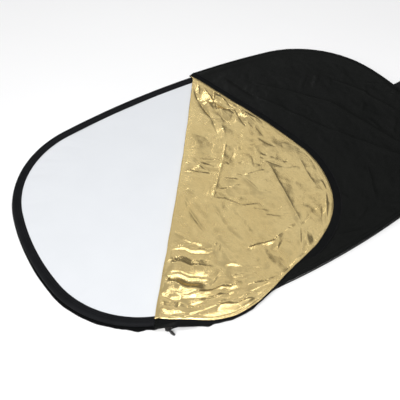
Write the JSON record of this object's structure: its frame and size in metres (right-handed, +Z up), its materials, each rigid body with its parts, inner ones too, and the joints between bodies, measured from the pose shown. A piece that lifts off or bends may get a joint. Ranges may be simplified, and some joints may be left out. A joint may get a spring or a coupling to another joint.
{
  "type": "collapsible reflector",
  "caption": "Oval pop-up light reflector: a hooped translucent panel in a zipped reversible cover, its top layer unzipped at one end and folded back to show a gold lining.",
  "frame": {"origin": "centre of the cover's oval in plan, on the surface that the reflector lies on", "axes": "+X along the oval's long axis towards the hanging loop, +Y across it away from the slider, +Z up out of the gold flap"},
  "size_m": [0.9712, 0.6311, 0.0143],
  "materials": {
    "cover_black": "black woven nylon, slight sheen",
    "cover_gold": "gold metallised foil on fabric, crinkled",
    "cover_silver": "silver metallised foil on fabric",
    "cover_white": "matte white nylon",
    "diffuser_fabric": "translucent white nylon, taut",
    "binding": "black grosgrain rim binding",
    "zip_tape": "black woven zip tape and webbing",
    "zip_coil": "black nylon coil",
    "slider_metal": "black lacquered zinc",
    "spring_steel": "blued flat spring steel",
    "sleeve_brass": "folded brass sleeve"
  },
  "bodies": {
    "cover": {"spring_band": "spring_steel", "band_sleeve": "sleeve_brass", "band_rivet_1": "spring_steel", "band_rivet_2": "spring_steel", "rim_binding": "binding", "diffuser_panel": "diffuser_fabric", "rear_outer_ply": "cover_silver", "rear_inner_ply": "cover_white", "top_gold_ply": "cover_gold", "top_black_ply": "cover_black", "fold_roll": "cover_gold", "seam_edge": "cover_black", "zip_tape_rear_open": "zip_tape", "zip_coil_rear_open": "zip_coil", "zip_tape_rear_closed": "zip_tape", "zip_tape_top_closed": "zip_tape", "zip_coil_rear_closed": "zip_coil", "zip_coil_top_closed": "zip_coil", "zip_start_stop": "slider_metal", "zip_end_stop": "slider_metal", "loop_anchor": "zip_tape"},
    "flap": {"flap_gold_ply": "cover_gold", "flap_black_ply": "cover_black", "zip_tape_flap": "zip_tape", "zip_coil_flap": "zip_coil"},
    "slider": {"slider_body": "slider_metal"},
    "tab": {"pull_tab": "slider_metal"},
    "loop": {"hanging_loop": "zip_tape"}
  },
  "joints": [
    {"name": "flap_fold", "type": "hinge", "parent": "cover", "child": "flap", "pos_m": [-0.314, -0.25, 0.0127], "axis": [-0.583, -0.8125, 0], "range_deg": [0, 180]},
    {"name": "slider_travel", "type": "hinge", "parent": "cover", "child": "slider", "pos_m": [-0.2365, -0.05758, 0.0062], "axis": [0, 0, 1], "range_deg": [0, 9]},
    {"name": "tab_swing", "type": "hinge", "parent": "slider", "child": "tab", "pos_m": [-0.30256, -0.27366, 0.0062], "axis": [0, 0, 1], "range_deg": [-115, 45]},
    {"name": "loop_lift", "type": "hinge", "parent": "cover", "child": "loop", "pos_m": [0.4675, 0.012, 0.0062], "axis": [0, -1, 0], "range_deg": [0, 75]}
  ]
}
